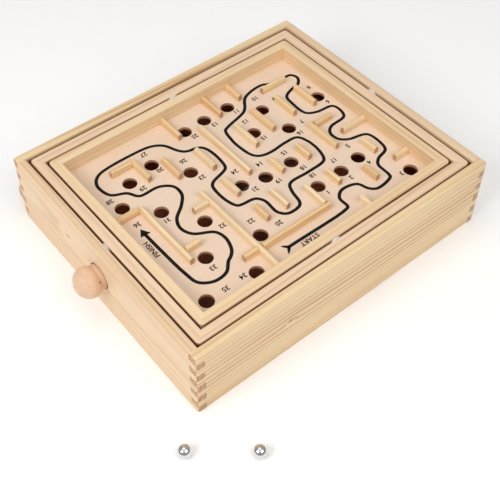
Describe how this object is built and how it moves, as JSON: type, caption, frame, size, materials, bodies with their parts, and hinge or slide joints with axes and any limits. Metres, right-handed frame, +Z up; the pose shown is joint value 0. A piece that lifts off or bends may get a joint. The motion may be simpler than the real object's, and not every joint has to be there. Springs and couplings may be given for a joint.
{
  "type": "tilt maze game",
  "caption": "Wooden box holding a gimballed maze tray with holes; side and front knobs turn shafts whose cords tilt the tray to steer a steel ball along the printed route.",
  "frame": {"origin": "middle of the box's underside, on the table", "axes": "+Z up, +X along the box's long side towards the side knob, -Y towards the player, who turns the front knob and reads the numbers upright"},
  "size_m": [0.333, 0.331, 0.07],
  "materials": {
    "pine_box": "planed pale pine, clear matt varnish",
    "plywood_base": "sanded plywood, unfinished",
    "pine_support": "sawn pine, unfinished",
    "pine_frame": "planed pale pine, clear matt varnish",
    "pale_rim": "planed pale lime wood, clear matt varnish",
    "maze_plywood": "beech-faced plywood, satin varnish, printed black route and numbers",
    "pine_strip": "pine strip with eased edges, satin varnish",
    "bright_steel": "bright drawn steel",
    "nylon_spacer": "natural nylon",
    "brass_eye": "brassed wire",
    "cord": "braided black nylon cord",
    "beech_knob": "turned beech, satin varnish",
    "polished_steel": "mirror-polished bearing steel"
  },
  "bodies": {
    "box": {"wall_back": "pine_box", "wall_front": "pine_box", "wall_right": "pine_box", "wall_left": "pine_box", "base_panel": "plywood_base", "base_screws": "bright_steel", "return_floor": "plywood_base", "floor_supports": "pine_support", "ball_ledge": "pine_box", "frame_pivot_pins": "bright_steel", "frame_pivot_spacers": "nylon_spacer"},
    "outer_frame": {"frame_rail_back": "pine_frame", "frame_rail_front": "pine_frame", "frame_rail_right": "pine_frame", "frame_rail_left": "pine_frame", "tray_pivot_pins": "bright_steel", "tray_pivot_spacers": "nylon_spacer", "frame_screw_eyes": "brass_eye", "cord_x": "cord", "spring_x": "bright_steel"},
    "maze_tray": {"tray_rim_back": "pale_rim", "tray_rim_front": "pale_rim", "tray_rim_right": "pale_rim", "tray_rim_left": "pale_rim", "maze_panel": "maze_plywood", "maze_branch_start": "pine_strip", "maze_branch_middle": "pine_strip", "maze_branch_finish": "pine_strip", "maze_branch_right": "pine_strip", "maze_branch_left": "pine_strip", "maze_stubs_front": "pine_strip", "maze_stubs_left": "pine_strip", "maze_stub_back": "pine_strip", "maze_strips_front_left": "pine_strip", "maze_strip_1": "pine_strip", "maze_strip_2": "pine_strip", "maze_strip_3": "pine_strip", "maze_strip_4": "pine_strip", "maze_strip_5": "pine_strip", "maze_strip_6": "pine_strip", "maze_strip_7": "pine_strip", "maze_strip_8": "pine_strip", "maze_strip_9": "pine_strip", "maze_strip_10": "pine_strip", "maze_strip_11": "pine_strip", "maze_strip_12": "pine_strip", "maze_strip_13": "pine_strip", "tray_screw_eyes": "brass_eye", "cord_y": "cord", "spring_y": "bright_steel"},
    "shaft_x": {"shaft_x": "bright_steel", "knob_x": "beech_knob", "knob_x_pin": "bright_steel", "shaft_x_clips": "bright_steel"},
    "shaft_y": {"shaft_y": "bright_steel", "knob_y": "beech_knob", "knob_y_pin": "bright_steel", "shaft_y_clips": "bright_steel"},
    "ball_1": {"ball_1": "polished_steel"},
    "ball_2": {"ball_2": "polished_steel"}
  },
  "joints": [
    {"name": "frame_tilt", "type": "hinge", "parent": "box", "child": "outer_frame", "pos_m": [0, 0, 0.063], "axis": [1, 0, 0], "range_deg": [-3.5, 3.5], "deforming": ["cord_x", "spring_x"]},
    {"name": "tray_tilt", "type": "hinge", "parent": "outer_frame", "child": "maze_tray", "pos_m": [0, 0, 0.063], "axis": [0, 1, 0], "range_deg": [-3.5, 3.5], "deforming": ["cord_y", "spring_y"]},
    {"name": "shaft_x_spin", "type": "hinge", "parent": "box", "child": "shaft_x", "pos_m": [0, 0, 0.038], "axis": [1, 0, 0], "range_deg": [-33, 33]},
    {"name": "shaft_y_spin", "type": "hinge", "parent": "box", "child": "shaft_y", "pos_m": [0, 0, 0.03], "axis": [0, 1, 0], "range_deg": [-44, 44]},
    {"name": "ball_1_lift", "type": "slide", "parent": "box", "child": "ball_1", "axis": [0, 0, 1], "range_m": [0, 0.1]},
    {"name": "ball_2_lift", "type": "slide", "parent": "box", "child": "ball_2", "axis": [0, 0, 1], "range_m": [0, 0.1]}
  ],
  "couplings": [
    {"joint": "shaft_x_spin", "follows": "frame_tilt", "ratio": -9.2},
    {"joint": "shaft_y_spin", "follows": "tray_tilt", "ratio": -12.41}
  ]
}
